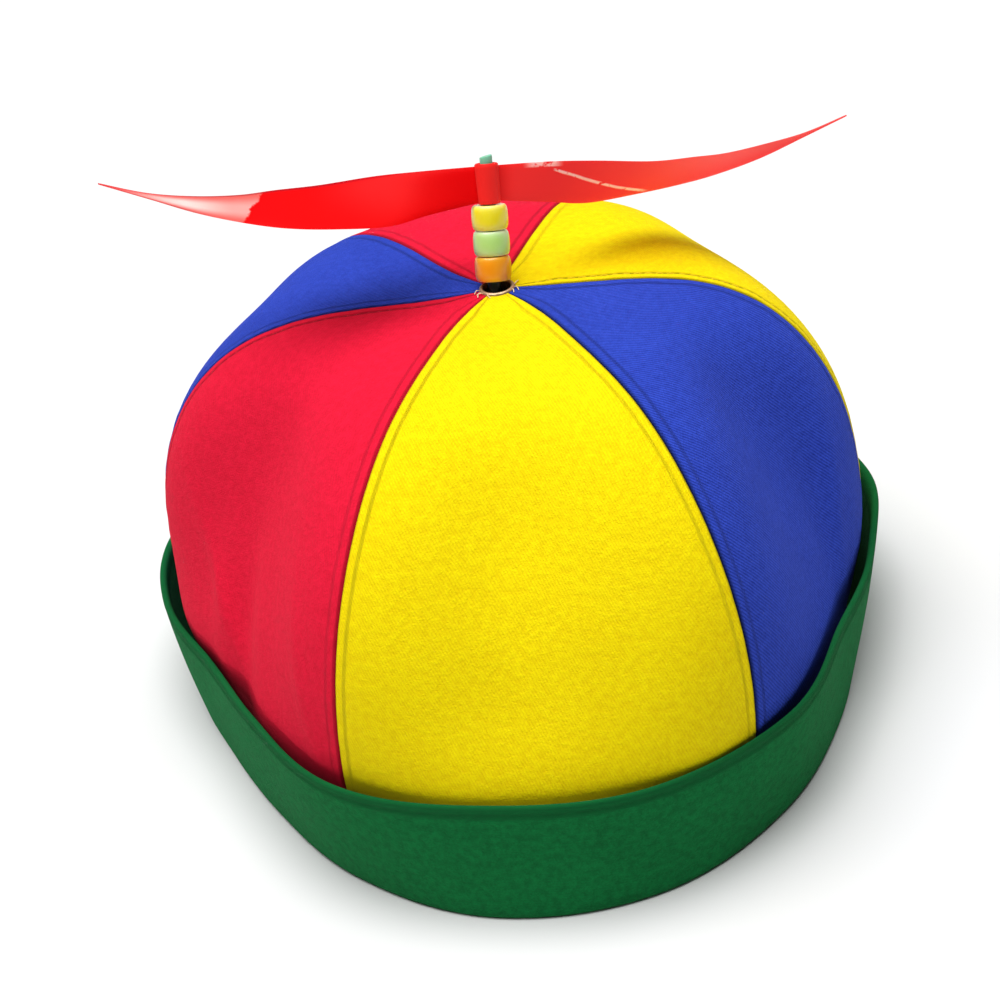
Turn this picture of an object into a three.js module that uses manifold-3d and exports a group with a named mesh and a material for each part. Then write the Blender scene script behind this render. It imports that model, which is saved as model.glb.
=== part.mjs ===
// Propeller beanie: a cap of six cloth panels with a turned-up cuff, and on its crown an eyelet
// with a leaning spindle that carries three beads and a two-blade propeller.
// Millimetres, +Z up, the front towards -Y, standing on the fold of the cuff.

import * as THREE from "three";
import { mergeVertices } from "three/addons/utils/BufferGeometryUtils.js";
import Module from "manifold-3d";

// The cap: its fold line is the bottom edge where the cuff turns up
const FOLD_HALF_WIDTH = 81;
const FOLD_HALF_LENGTH = 107; // in front, where the fold line comes to a blunt point
const CROWN_HEIGHT = 104.5;
const SHOULDER_HEIGHT = 78;
const CROWN_WALL = 1.2;
const SEAM_GAP = 0.3; // between two panels' cut edges
const FIT = 0.3; // between pieces that touch on the real cap
const APEX_SIDE = 3.2; // the eyelet sits this far right of the fold line's middle
const APEX_FRONT = 5.9; // and this far in front of it

// Form of the crown, as shares of the sizes above
const PROFILE_UP = 2.76; // above 2 the wall stands straighter
const PROFILE_IN = 4.78; // above 2 the top lies flatter
const SWELL = 0.1; // how far the wall bulges at half height
const FLATTENING = 0.166; // how far a panel's middle lies inside its seams
const FLAT_POWER = 1.33; // above 1 keeps the flattening away from cuff and eyelet
const SWING_REACH = 25; // how far from the eyelet the seams curve

// Cuff
const CUFF_HEIGHT = 30.5;
const CUFF_WALL = 1.8; // two layers of cloth
const CUFF_FLARE = 7.5; // how far the top edge leans out where it leans most
const FOLD_REACH = 3; // the fold's outer face stands this far outside the fold line
const FOLD_ROUND = 1.2;
const HEM_HEIGHT = 9; // the band's other leg, inside the crown
const HEM_WALL = 1.2;

// Eyelet
const EYELET_BORE = 6.2;
const EYELET_BARREL_WALL = 0.4;
const EYELET_RIM_DIAMETER = 8.7;
const EYELET_RIM_HEIGHT = 0.3;
const EYELET_FLANGE_DIAMETER = 9.4;
const EYELET_FLANGE_WALL = 0.5;

// Spindle
const SPINDLE_DIAMETER = 3;
const SPINDLE_LEAN_BACK = 18.2; // degrees
const SPINDLE_LEAN_RIGHT = 5.1; // degrees
const SPINDLE_SIDE = 0.6; // how far left of the eyelet's middle it stands
const SPINDLE_TIP = 2; // how far it stands out of the propeller
const FOOT_DIAMETER = 10;
const FOOT_WALL = 1.6;

// Beads
const BEAD_DIAMETER = 8.6;
const BEAD_LENGTH = 5.8;
const BEAD_END_DIAMETER = 5.6; // the flat end around the bore
const BEAD_GAP = 0.2;

// Propeller
const HUB_DIAMETER = 5.6;
const HUB_LENGTH = 9.4;
const BLADE_REACH = 90.4; // spindle to blade tip
const BLADE_HEIGHT = 12; // a blade's full height where it is widest, seen from its side
const BLADE_WALL = 0.8;
const BLADE_TURN = 14.4; // degrees that the propeller stands turned about the spindle

// How finely the surfaces are divided
const PANEL_COLUMNS = 12;
const ROWS_IN_CUFF = 3;
const ROWS_ON_WALL = 7;
const ROWS_ON_TOP = 7;
const CUFF_SECTIONS = 72;
const BLADE_STATIONS = 15;
const BLADE_COLUMNS = 3;
const ROUND_SIDES = 16;

// The outline by direction, in degrees from the right-hand side, turning by way of the back.
// long: the fold line's reach, from its half width at 0 to its half length at 1.
// flare: how far the cuff's top edge leans out, as a share of CUFF_FLARE.
const outline = [
  { at: 0, long: -0.12, flare: 0.9 },
  { at: 20, long: 0.08, flare: 0.4 },
  { at: 40, long: 0.28, flare: 0.4 },
  { at: 60, long: 0.43, flare: 0.4 },
  { at: 80, long: 0.58, flare: 0.4 },
  { at: 100, long: 0.6, flare: 0.4 },
  { at: 120, long: 0.49, flare: 0.4 },
  { at: 140, long: 0.39, flare: 0.42 },
  { at: 160, long: 0.26, flare: 0.69 },
  { at: 180, long: 0.1, flare: 0.67 },
  { at: 200, long: -0.02, flare: 0.31 },
  { at: 220, long: 0.14, flare: 0.38 },
  { at: 240, long: 0.55, flare: 0.76 },
  { at: 260, long: 0.93, flare: 0.08 },
  { at: 280, long: 0.94, flare: 0.46 },
  { at: 300, long: 0.56, flare: 0.9 },
  { at: 320, long: 0.13, flare: 0.56 },
  { at: 340, long: -0.12, flare: 1 },
];

// The six seams, by direction.
// shoulder: the top's reach there, as a share of the mean radius of the fold line.
// belly: how far the wall stands out (or, below 0, in) a quarter of the way up, as a share of its radius.
// swing: how many degrees the seam turns from its direction where it comes in to the eyelet.
// Each row also names the panel that starts at its seam, with its colour and its share of FLATTENING.
const seams = [
  { at: -9, shoulder: 0.865, belly: -0.022, swing: -3, panel: "panel_yellow_back", colour: 0xf0d818, flat: 0.8 },
  { at: 68.7, shoulder: 0.935, belly: -0.01, swing: 1, panel: "panel_red_back", colour: 0xd81e40, flat: -0.2 },
  { at: 121, shoulder: 1, belly: -0.05, swing: 10, panel: "panel_blue_left", colour: 0x2c3eaa, flat: 0.42 },
  { at: 176, shoulder: 0.97, belly: -0.062, swing: 10, panel: "panel_red_left", colour: 0xd81e40, flat: 1 },
  { at: 240, shoulder: 0.893, belly: -0.034, swing: -10, panel: "panel_yellow_front", colour: 0xf0d818, flat: 1 },
  { at: 295, shoulder: 0.979, belly: -0.021, swing: 10, panel: "panel_blue_right", colour: 0x2c3eaa, flat: 1 },
];

// Soft dents and folds of the cloth. at and wide are degrees round the crown, lean is how many degrees
// a fold drifts over the crown's height, height and tall are shares of that height, and depth is a
// share of the crown's wall, above 0 where the cloth stands out.
const folds = [
  { at: 262, height: 0.46, wide: 12, tall: 0.12, lean: 0, depth: -1.2 },
  { at: 275, height: 0.66, wide: 9, tall: 0.16, lean: 10, depth: 0.7 },
  { at: 202, height: 0.42, wide: 4, tall: 0.2, lean: -14, depth: 1 },
  { at: 218, height: 0.4, wide: 5, tall: 0.2, lean: -16, depth: 0.9 },
  { at: 210, height: 0.42, wide: 4, tall: 0.2, lean: -14, depth: -1 },
  { at: 340, height: 0.55, wide: 5, tall: 0.2, lean: 12, depth: 0.9 },
  { at: 330, height: 0.5, wide: 5, tall: 0.2, lean: 10, depth: -0.9 },
  { at: 40, height: 0.5, wide: 9, tall: 0.2, lean: 8, depth: -1 },
  { at: 95, height: 0.45, wide: 8, tall: 0.2, lean: 0, depth: -1.1 },
  { at: 198, height: 0.33, wide: 15, tall: 0.16, lean: 0, depth: 2.1 },
  { at: 345, height: 0.3, wide: 14, tall: 0.14, lean: 0, depth: 1 },
];

// One blade from hub to tip. out is a share of BLADE_REACH, the others are shares of BLADE_HEIGHT:
// the heights of the two edges, how far forward the top one lies and how far behind the low one.
const bladeRows = [
  { out: 0.02, top: 0.34, front: 0.04, low: -0.31, behind: 0.04 },
  { out: 0.165, top: 0.33, front: 0.21, low: -0.49, behind: 0.15 },
  { out: 0.28, top: 0.29, front: 0.52, low: -0.61, behind: 0.38 },
  { out: 0.42, top: 0.2, front: 0.72, low: -0.55, behind: 0.53 },
  { out: 0.54, top: 0.195, front: 0.585, low: -0.45, behind: 0.545 },
  { out: 0.64, top: 0.19, front: 0.355, low: -0.3, behind: 0.385 },
  { out: 0.76, top: 0.27, front: 0.09, low: -0.04, behind: 0.21 },
  { out: 0.88, top: 0.42, front: 0.02, low: 0.31, behind: 0.08 },
  { out: 1, top: 0.69, front: 0.005, low: 0.66, behind: 0.005 },
];

const { cos, sin, PI } = Math;
const { degToRad, euclideanModulo, lerp } = THREE.MathUtils;
const meanRadius = (FOLD_HALF_WIDTH + FOLD_HALF_LENGTH) / 2;
const shoulderReach = cos(angleAtHeight(SHOULDER_HEIGHT)) ** (2 / PROFILE_IN);
const panelRing = EYELET_BORE / 2 + EYELET_BARREL_WALL + FIT; // radius of the hole in the crown
const wasm = await Module();
wasm.setup();

const ease = (part) => (1 - cos(PI * part)) / 2;
const steps = (count) => Array.from({ length: count + 1 }, (_, i) => i / count);

// The rows of a table on either side of a direction, and how far between them it lies.
function neighbours(rows, at) {
  const turned = (row) => euclideanModulo(row.at - rows[0].at, 360);
  const here = euclideanModulo(at - rows[0].at, 360);
  const index = rows.findLastIndex((row) => turned(row) <= here);
  const row = rows[index];
  const next = rows[(index + 1) % rows.length];
  const span = euclideanModulo(next.at - row.at, 360);
  return { row, next, part: (here - turned(row)) / span };
}

function blended(rows, at, column) {
  const { row, next, part } = neighbours(rows, at);
  return lerp(row[column], next[column], ease(part));
}

// A smooth closed curve through one column of the outline.
function outlineCurve(column) {
  const points = outline.map((row) => new THREE.Vector3(row[column], 0, 0));
  const curve = new THREE.CatmullRomCurve3(points, true, "catmullrom", 0.5);
  return (at) => curve.getPoint(euclideanModulo(at, 360) / 360).x;
}

const longAt = outlineCurve("long");
const flareAt = outlineCurve("flare");

function foldRadius(at) {
  return lerp(FOLD_HALF_WIDTH, FOLD_HALF_LENGTH, longAt(at));
}

function outward(at, radius, height) {
  const direction = degToRad(at);
  return new THREE.Vector3(radius * cos(direction), radius * sin(direction), height);
}

// The crown's profile is a superellipse, followed by an angle from 0 at the fold to a right angle on top.
function angleAtHeight(height) {
  return Math.asin((height / CROWN_HEIGHT) ** (PROFILE_UP / 2));
}

function angleAtReach(reach) {
  return Math.acos(reach ** (PROFILE_IN / 2));
}

function crownPoint(at, angle) {
  const rise = sin(angle) ** (2 / PROFILE_UP);
  const reach = cos(angle) ** (2 / PROFILE_IN);
  const plan = lerp(foldRadius(at), meanRadius * blended(seams, at, "shoulder"), rise ** 2);
  const bulge = 1 + SWELL * sin(PI * rise) + blended(seams, at, "belly") * sin(PI * rise ** 0.5);
  const { row, part } = neighbours(seams, at);
  const middle = row.flat * (1 - cos(2 * PI * part)) / 2;
  const flat = 1 - FLATTENING * Math.max(sin(2 * angle), 0) ** FLAT_POWER * middle;
  const swing = blended(seams, at, "swing") * Math.exp(-((plan * reach / SWING_REACH) ** 2));
  const point = outward(at + swing, plan * reach * bulge * flat, CROWN_HEIGHT * rise);
  return point.add(new THREE.Vector3(APEX_SIDE * rise, -APEX_FRONT * rise, 0));
}

// Behind the cuff the wall bends in to its seat in the fold, and nowhere stands out past that seat.
function tuckedPoint(at, height) {
  const top = crownPoint(at, angleAtHeight(CUFF_HEIGHT));
  const slope = top.clone().sub(crownPoint(at, angleAtHeight(CUFF_HEIGHT - 1)));
  const knee = top.clone().addScaledVector(slope, -CUFF_HEIGHT / 2);
  const seatRadius = foldRadius(at) + FOLD_REACH - CUFF_WALL - FIT;
  const inside = Math.min(seatRadius / Math.hypot(knee.x, knee.y), 1);
  knee.multiply(new THREE.Vector3(inside, inside, 1));
  const seat = outward(at, seatRadius, 0);
  return new THREE.QuadraticBezierCurve3(seat, knee, top).getPoint(height / CUFF_HEIGHT);
}

// level runs up the crown: 0 to 1 behind the cuff, 1 to 2 up the wall, 2 to 3 over the top.
function skinPoint(at, level) {
  if (level < 1) return tuckedPoint(at, level * CUFF_HEIGHT);
  if (level < 2) return crownPoint(at, angleAtHeight(lerp(CUFF_HEIGHT, SHOULDER_HEIGHT, level - 1)));
  return crownPoint(at, angleAtReach(shoulderReach * (3 - level)));
}

function relief(at, height) {
  const share = height / CROWN_HEIGHT;
  return folds.reduce((sum, fold) => {
    const up = share - fold.height;
    const centre = fold.at + fold.lean * up;
    const across = euclideanModulo(at - centre + 180, 360) - 180;
    return sum + CROWN_WALL * fold.depth * Math.exp(-((across / fold.wide) ** 2) - (up / fold.tall) ** 2);
  }, 0);
}

// A point of the cloth, with its dents and folds, sunk below the outer face by depth.
function clothPoint(at, level, depth) {
  const point = skinPoint(at, level);
  const around = skinPoint(at + 0.5, level).sub(skinPoint(at - 0.5, level));
  const upward = skinPoint(at, level + 0.002).sub(skinPoint(at, level - 0.002));
  const normal = around.cross(upward).normalize();
  return point.addScaledVector(normal, relief(at, point.z) - depth);
}

// Every level of a panel's rows, from its lower edge in the cuff to its hole around the eyelet.
function panelLevels(at) {
  const lowest = (CUFF_WALL + FIT) / CUFF_HEIGHT;
  const hole = panelRing / (meanRadius * blended(seams, at, "shoulder"));
  const highest = 3 - hole / shoulderReach;
  return [
    ...steps(ROWS_IN_CUFF).map((part) => lerp(lowest, 1, part)),
    ...steps(ROWS_ON_WALL).slice(1).map((part) => 1 + part),
    ...steps(ROWS_ON_TOP).slice(1).map((part) => lerp(2, highest, part)),
  ];
}

function geometryOf(points, faces) {
  const geometry = new THREE.BufferGeometry();
  geometry.setAttribute("position", new THREE.Float32BufferAttribute(points.flatMap((p) => [...p]), 3));
  geometry.setIndex(faces.flat());
  geometry.computeVertexNormals();
  return geometry;
}

const quad = (a, b, c, d) => [a, b, c, a, c, d];

// A closed sheet between a front and a back grid of points, rows going up and columns going round.
function sheetGeometry(front, back) {
  const rows = front.length;
  const columns = front[0].length;
  const f = (i, j) => i * columns + j;
  const b = (i, j) => rows * columns + f(i, j);
  const faces = [];
  for (let i = 0; i + 1 < rows; i += 1) {
    for (let j = 0; j + 1 < columns; j += 1) {
      faces.push(quad(f(i, j), f(i, j + 1), f(i + 1, j + 1), f(i + 1, j)));
      faces.push(quad(b(i, j), b(i + 1, j), b(i + 1, j + 1), b(i, j + 1)));
    }
    const last = columns - 1;
    faces.push(quad(b(i, 0), f(i, 0), f(i + 1, 0), b(i + 1, 0)));
    faces.push(quad(f(i, last), b(i, last), b(i + 1, last), f(i + 1, last)));
  }
  for (let j = 0; j + 1 < columns; j += 1) {
    const last = rows - 1;
    faces.push(quad(b(0, j), b(0, j + 1), f(0, j + 1), f(0, j)));
    faces.push(quad(f(last, j), f(last, j + 1), b(last, j + 1), b(last, j)));
  }
  return geometryOf([...front.flat(), ...back.flat()], faces);
}

// A closed ring through sections that all have the same number of points.
function ringGeometry(sections) {
  const around = sections.length;
  const count = sections[0].length;
  const id = (i, k) => (i % around) * count + (k % count);
  const faces = [];
  for (let i = 0; i < around; i += 1) {
    for (let k = 0; k < count; k += 1) {
      faces.push(quad(id(i, k), id(i + 1, k), id(i + 1, k + 1), id(i, k + 1)));
    }
  }
  return geometryOf(sections.flat(), faces);
}

function turned(profile, sides = ROUND_SIDES) {
  const closed = [...profile, profile[0]];
  const geometry = new THREE.LatheGeometry(closed.map(([r, z]) => new THREE.Vector2(r, z)), sides);
  return geometry.rotateX(PI / 2);
}

function solid(geometry) {
  const bare = geometry.clone();
  bare.deleteAttribute("normal");
  bare.deleteAttribute("uv");
  const merged = mergeVertices(bare, 1e-4);
  const vertProperties = merged.getAttribute("position").array;
  const triVerts = new Uint32Array(merged.index.array);
  return new wasm.Manifold(new wasm.Mesh({ numProp: 3, vertProperties, triVerts }));
}

function joined(...geometries) {
  const { vertProperties, triVerts } = geometries
    .map(solid)
    .reduce((whole, piece) => whole.add(piece))
    .getMesh();
  const geometry = new THREE.BufferGeometry();
  geometry.setAttribute("position", new THREE.BufferAttribute(vertProperties, 3));
  geometry.setIndex(new THREE.BufferAttribute(triVerts, 1));
  geometry.computeVertexNormals();
  return geometry;
}

function named(name, geometry, color, roughness, metalness = 0) {
  const mesh = new THREE.Mesh(geometry, new THREE.MeshStandardMaterial({ color, roughness, metalness }));
  mesh.name = name;
  return mesh;
}

// Crown panel: from its own seam to the next one, half a seam gap inside each.
function panel(seam) {
  const { next } = neighbours(seams, seam.at);
  const span = euclideanModulo(next.at - seam.at, 360);
  const middle = panelLevels(seam.at + span / 2);
  const grid = (depth) =>
    middle.map((_, row) =>
      steps(PANEL_COLUMNS).map((part) => {
        const level = panelLevels(seam.at + span * part)[row];
        const edge = skinPoint(seam.at, level);
        const axis = new THREE.Vector3(APEX_SIDE, -APEX_FRONT, 0).multiplyScalar(edge.z / CROWN_HEIGHT);
        const inset = THREE.MathUtils.radToDeg(SEAM_GAP / 2 / edge.sub(axis).setZ(0).length());
        return clothPoint(seam.at + lerp(inset, span - inset, part), level, depth);
      }),
    );
  return named(seam.panel, sheetGeometry(grid(0), grid(CROWN_WALL)), seam.colour, 0.9);
}

// Cuff: one band folded into a deep J, whose slot holds the panels' lower edges.
function cuffSection(at) {
  const face = (height, depth) => {
    const flare = CUFF_FLARE * flareAt(at) * (height / CUFF_HEIGHT);
    return outward(at, foldRadius(at) + FOLD_REACH + flare - depth, height);
  };
  const hem = (height, depth) => clothPoint(at, height / CUFF_HEIGHT, CROWN_WALL + FIT + depth);
  const heights = steps(4).map((part) => lerp(FOLD_ROUND, CUFF_HEIGHT - CUFF_WALL / 2, part));
  const slot = steps(2).map((part) => lerp(CUFF_WALL, HEM_HEIGHT, part));
  const hemFoot = foldRadius(at) + FOLD_REACH - CUFF_WALL - 2 * FIT - CROWN_WALL - HEM_WALL;
  return [
    face(0, FOLD_ROUND),
    face(FOLD_ROUND * 0.3, FOLD_ROUND * 0.3),
    ...heights.map((height) => face(height, 0)),
    face(CUFF_HEIGHT, CUFF_WALL / 2),
    ...heights.slice(1).reverse().map((height) => face(height, CUFF_WALL)),
    face(CUFF_WALL, CUFF_WALL),
    ...slot.map((height) => hem(height, 0)),
    ...slot.slice(1).reverse().map((height) => hem(height, HEM_WALL)),
    outward(at, hemFoot, FOLD_ROUND),
    outward(at, hemFoot + FOLD_ROUND * 0.7, 0),
  ];
}

function cuff() {
  const sections = steps(CUFF_SECTIONS).slice(1).map((part) => cuffSection(360 * part));
  return named("cuff", ringGeometry(sections), 0x187040, 0.9);
}

// Eyelet: a barrel through the crown with a rolled rim above it and a flat flange below it.
function eyelet() {
  const bore = EYELET_BORE / 2;
  const barrel = bore + EYELET_BARREL_WALL;
  const rim = EYELET_RIM_DIAMETER / 2;
  const flange = EYELET_FLANGE_DIAMETER / 2;
  const under = -CROWN_WALL - FIT;
  const top = FIT + EYELET_RIM_HEIGHT;
  const profile = [
    [bore, under - EYELET_FLANGE_WALL],
    [flange, under - EYELET_FLANGE_WALL],
    [flange, under],
    [barrel, under],
    [barrel, FIT],
    [rim, FIT],
    [rim, lerp(FIT, top, 0.5)],
    [lerp(barrel, rim, 0.6), top],
    [lerp(bore, rim, 0.25), top],
    [bore, lerp(FIT, top, 0.4)],
  ];
  return named("eyelet", turned(profile, 20), 0x96784f, 0.4, 0.9);
}

// The lowest bead and the foot lean with the spindle until their ends meet the eyelet.
const lean = Math.acos(cos(degToRad(SPINDLE_LEAN_BACK)) * cos(degToRad(SPINDLE_LEAN_RIGHT)));
const rimTop = FIT + EYELET_RIM_HEIGHT;
const flangeBottom = CROWN_WALL + FIT + EYELET_FLANGE_WALL;
const beadSeat = (rimTop + FIT + (BEAD_END_DIAMETER / 2) * sin(lean)) / cos(lean);
const footDrop = (flangeBottom + FIT + (FOOT_DIAMETER / 2) * sin(lean)) / cos(lean);
const beadStart = (index) => beadSeat + index * (BEAD_LENGTH + BEAD_GAP);
const hubStart = beadStart(2) + BEAD_LENGTH + FIT;

// Spindle: a rod with a foot below the crown that keeps it from pulling out.
function spindle() {
  const radius = SPINDLE_DIAMETER / 2;
  const tip = hubStart + HUB_LENGTH + SPINDLE_TIP;
  const foot = FOOT_DIAMETER / 2;
  const profile = [
    [0, -footDrop - FOOT_WALL],
    [foot, -footDrop - FOOT_WALL],
    [foot, -footDrop],
    [radius, -footDrop],
    [radius, tip - radius * 0.2],
    [radius * 0.8, tip],
    [0, tip],
  ];
  return named("spindle", turned(profile), 0x82c8aa, 0.35);
}

// Bead: a barrel with rounded shoulders, bored for the spindle.
function bead(name, index, colour) {
  const bore = SPINDLE_DIAMETER / 2 + FIT;
  const end = BEAD_END_DIAMETER / 2;
  const radius = BEAD_DIAMETER / 2;
  const outside = [
    { up: 0, out: 0 },
    { up: 0.06, out: 0.6 },
    { up: 0.2, out: 0.9 },
    { up: 0.5, out: 1 },
    { up: 0.8, out: 0.9 },
    { up: 0.94, out: 0.6 },
    { up: 1, out: 0 },
  ];
  const shell = outside.map(({ up, out }) => [lerp(end, radius, out), up * BEAD_LENGTH]);
  const mesh = named(name, turned([[bore, 0], ...shell, [bore, BEAD_LENGTH]]), colour, 0.25);
  mesh.position.z = beadStart(index);
  return mesh;
}

// Propeller: a sleeve on the spindle with two equal twisted blades, moulded in one.
function bladeGrid(side) {
  const column = (name) =>
    new THREE.SplineCurve(bladeRows.map((row) => new THREE.Vector2(row.out, row[name])));
  const [topEdge, front, lowEdge, behind] = ["top", "front", "low", "behind"].map(column);
  return steps(BLADE_STATIONS).map((part) => {
    const top = topEdge.getPoint(part);
    const low = lowEdge.getPoint(part).y;
    const rear = behind.getPoint(part).y;
    const fore = -front.getPoint(part).y;
    return steps(BLADE_COLUMNS).map((across) => {
      const back = lerp(rear, fore, across) * BLADE_HEIGHT + (side * BLADE_WALL) / 2;
      return new THREE.Vector3(top.x * BLADE_REACH, back, lerp(low, top.y, across) * BLADE_HEIGHT);
    });
  });
}

function propeller() {
  const bore = SPINDLE_DIAMETER / 2 + FIT;
  const hub = HUB_DIAMETER / 2;
  const half = HUB_LENGTH / 2;
  const sleeve = turned([[bore, -half], [hub, -half], [hub, half], [bore, half]]);
  const blade = sheetGeometry(bladeGrid(1), bladeGrid(-1));
  const mesh = named("propeller", joined(sleeve, blade, blade.clone().rotateZ(PI)), 0xe62028, 0.2);
  mesh.position.z = hubStart + half;
  mesh.rotation.z = degToRad(BLADE_TURN);
  return mesh;
}

const crownTop = new THREE.Group();
crownTop.position.set(APEX_SIDE, -APEX_FRONT, CROWN_HEIGHT);
const leaning = new THREE.Group();
leaning.position.x = -SPINDLE_SIDE;
leaning.rotation.set(degToRad(-SPINDLE_LEAN_BACK), degToRad(SPINDLE_LEAN_RIGHT), 0);
leaning.add(
  spindle(),
  bead("bead_orange", 0, 0xffa01e),
  bead("bead_mint", 1, 0xa5e18c),
  bead("bead_yellow", 2, 0xf0dc32),
  propeller(),
);
crownTop.add(eyelet(), leaning);

// The whole stands with the middle of its box over the origin and its fold on the ground.
const cap = new THREE.Group();
cap.add(...seams.map(panel), cuff(), crownTop);
cap.updateMatrixWorld(true);
const box = new THREE.Box3().setFromObject(cap, true);
const middle = box.getCenter(new THREE.Vector3());
cap.position.set(-middle.x, -middle.y, -box.min.z);
const beanie = new THREE.Group();
beanie.add(cap);

export default beanie;
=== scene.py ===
# %% [markdown]
# # A propeller beanie
# A cap sewn from six coloured panels of cotton twill, with a green cuff turned up round it. A brass
# eyelet sits in the middle of the crown. A leaning plastic spindle comes up through it and carries
# three beads and a red two-blade propeller.
# Every cell before a step says what the piece is on the real cap, how it could be made, and why it
# is made this way. The plain solids of the cap come first: they are the frame that everything fits.

import math

import bpy
import numpy as np
from mathutils import Matrix, Vector


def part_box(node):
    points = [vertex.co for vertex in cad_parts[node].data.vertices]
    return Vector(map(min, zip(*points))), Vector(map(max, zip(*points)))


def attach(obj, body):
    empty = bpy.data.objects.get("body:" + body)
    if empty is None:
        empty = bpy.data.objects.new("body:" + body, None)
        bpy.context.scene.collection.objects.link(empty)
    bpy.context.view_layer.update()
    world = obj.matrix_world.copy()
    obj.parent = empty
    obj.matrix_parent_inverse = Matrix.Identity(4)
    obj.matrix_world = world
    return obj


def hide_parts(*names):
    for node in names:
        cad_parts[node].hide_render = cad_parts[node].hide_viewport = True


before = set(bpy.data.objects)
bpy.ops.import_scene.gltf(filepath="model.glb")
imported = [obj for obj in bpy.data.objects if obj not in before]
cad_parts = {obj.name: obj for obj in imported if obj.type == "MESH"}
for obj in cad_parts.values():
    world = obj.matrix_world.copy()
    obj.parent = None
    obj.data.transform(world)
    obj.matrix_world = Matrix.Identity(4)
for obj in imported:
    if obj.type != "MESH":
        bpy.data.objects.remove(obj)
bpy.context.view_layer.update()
scene = bpy.context.scene

# %% [markdown]
# ## The sizes of the cap
# The drafting table of this cap is in millimetres, so the sizes are kept in millimetres here too,
# and points turn into metres only when a mesh is made. The cap was centred by its box when it was
# drafted. The middle of the eyelet tells where its own origin went.

# %% Sizes in millimetres
FOLD_HALF_WIDTH = 81
FOLD_HALF_LENGTH = 107
CROWN_HEIGHT = 104.5
SHOULDER_HEIGHT = 78
CROWN_WALL = 1.2
FIT = 0.3
APEX_SIDE = 3.2
APEX_FRONT = 5.9
PROFILE_UP = 2.76
PROFILE_IN = 4.78
SWELL = 0.1
FLATTENING = 0.166
FLAT_POWER = 1.33
SWING_REACH = 25
CUFF_HEIGHT = 30.5
CUFF_WALL = 1.8
CUFF_FLARE = 7.5
FOLD_REACH = 3
HEM_HEIGHT = 9
HEM_WALL = 1.2
EYELET_BORE = 6.2
EYELET_BARREL_WALL = 0.4
EYELET_RIM_DIAMETER = 8.7
EYELET_RIM_HEIGHT = 0.3
EYELET_FLANGE_DIAMETER = 9.4
EYELET_FLANGE_WALL = 0.5
SPINDLE_DIAMETER = 3
SPINDLE_LEAN_BACK = 18.2
SPINDLE_LEAN_RIGHT = 5.1
SPINDLE_SIDE = 0.6
SPINDLE_TIP = 2
FOOT_DIAMETER = 10
FOOT_WALL = 1.6
BEAD_DIAMETER = 8.6
BEAD_LENGTH = 5.8
BEAD_END_DIAMETER = 5.6
BEAD_GAP = 0.2
HUB_DIAMETER = 5.6
HUB_LENGTH = 9.4
BLADE_REACH = 90.4
BLADE_HEIGHT = 12
BLADE_WALL = 0.8
BLADE_TURN = 14.4

MILLIMETRE = 0.001
mean_radius = (FOLD_HALF_WIDTH + FOLD_HALF_LENGTH) / 2

eyelet_low, eyelet_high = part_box("eyelet")
eyelet_middle = (eyelet_low + eyelet_high) / 2 / MILLIMETRE
cap_shift = np.array([eyelet_middle.x - APEX_SIDE, eyelet_middle.y + APEX_FRONT, 0])
print("the cap's own origin stands at", cap_shift.round(3), "mm")

# %% [markdown]
# ## The camera
# The photograph looks down on the cap from in front, from some distance, with the camera tipped a
# little. A camera could be turned by hand until the picture fits, but one wrong degree moves every
# seam. So the place, the aim and the tip were worked out from the seams and the outline, and the
# camera's own axes are built here from those three.

# %% Camera
CAMERA_PLACE = np.array([0, -612.4, 399.1])
CAMERA_AIM = np.array([-4.14, 0, 44.1])
CAMERA_TIP = -0.161
FOCAL_PIXELS = 2862.6
SENSOR = 36
PICTURE_WIDTH = 1000


def unit(vector):
    return vector / np.linalg.norm(vector, axis=-1, keepdims=True)


ahead = unit(CAMERA_AIM - CAMERA_PLACE)
level_right = unit(np.cross(ahead, [0, 0, 1]))
level_up = np.cross(level_right, ahead)
right = level_right * math.cos(CAMERA_TIP) + level_up * math.sin(CAMERA_TIP)
up = level_up * math.cos(CAMERA_TIP) - level_right * math.sin(CAMERA_TIP)

camera = bpy.data.objects.new("camera", bpy.data.cameras.new("camera"))
scene.collection.objects.link(camera)
camera.data.sensor_width = SENSOR
camera.data.lens = FOCAL_PIXELS / PICTURE_WIDTH * SENSOR
camera.data.clip_start = 0.01
turn = Matrix(np.stack([right, up, -ahead], axis=1).tolist()).to_4x4()
place = Vector((CAMERA_PLACE + cap_shift) * MILLIMETRE)
camera.matrix_world = Matrix.Translation(place) @ turn
scene.camera = camera
print("lens", round(camera.data.lens, 1), "mm")

# %% [markdown]
# ## The outline and the seams
# Seen from above the cap is a blunt egg, and each seam climbs it in its own curve. One ellipse
# would be quicker, but the real cap is soft and stands a little crooked. Two short tables hold what
# differs from place to place: the fold line and the cuff's lean by direction, and the six seams.

# %% Tables by direction
outline = [
    dict(at=0, long=-0.12, flare=0.9),
    dict(at=20, long=0.08, flare=0.4),
    dict(at=40, long=0.28, flare=0.4),
    dict(at=60, long=0.43, flare=0.4),
    dict(at=80, long=0.58, flare=0.4),
    dict(at=100, long=0.6, flare=0.4),
    dict(at=120, long=0.49, flare=0.4),
    dict(at=140, long=0.39, flare=0.42),
    dict(at=160, long=0.26, flare=0.69),
    dict(at=180, long=0.1, flare=0.67),
    dict(at=200, long=-0.02, flare=0.31),
    dict(at=220, long=0.14, flare=0.38),
    dict(at=240, long=0.55, flare=0.76),
    dict(at=260, long=0.93, flare=0.08),
    dict(at=280, long=0.94, flare=0.46),
    dict(at=300, long=0.56, flare=0.9),
    dict(at=320, long=0.13, flare=0.56),
    dict(at=340, long=-0.12, flare=1),
]

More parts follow.
